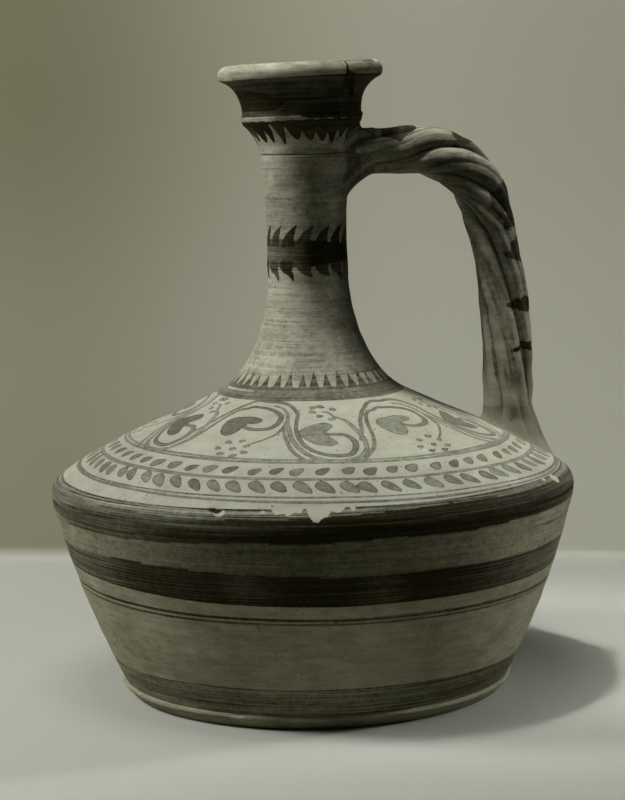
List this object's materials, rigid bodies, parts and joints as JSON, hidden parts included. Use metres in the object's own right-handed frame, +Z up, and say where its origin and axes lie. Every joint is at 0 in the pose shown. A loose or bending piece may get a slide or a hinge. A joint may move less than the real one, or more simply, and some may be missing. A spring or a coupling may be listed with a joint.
{
  "type": "oinochoe jug",
  "caption": "Tall-necked pottery jug with a wide keeled belly, sloping shoulder, low foot ring, flaring round mouth and a twisted rope handle.",
  "frame": {"origin": "on the jug's axis, in the plane that the foot ring stands on", "axes": "+Z up along the jug's axis; +X towards the handle; +Y square to both"},
  "size_m": [0.1998, 0.1998, 0.2385],
  "materials": {
    "bare_clay": "matt fired clay with dark painted bands",
    "slipped_clay": "matt pale slip with a painted ivy scroll",
    "washed_clay": "matt clay under a thin pale wash, with painted leaves",
    "handle_clay": "matt fired clay with short dark strokes"
  },
  "bodies": {
    "root": {"foot_ring": "bare_clay", "belly": "bare_clay", "shoulder": "slipped_clay", "neck": "washed_clay", "mouth": "washed_clay", "neck_pad": "handle_clay", "shoulder_pad": "handle_clay", "handle_roll_1": "handle_clay", "handle_roll_2": "handle_clay", "handle_roll_3": "handle_clay", "handle_roll_4": "handle_clay"}
  },
  "joints": []
}
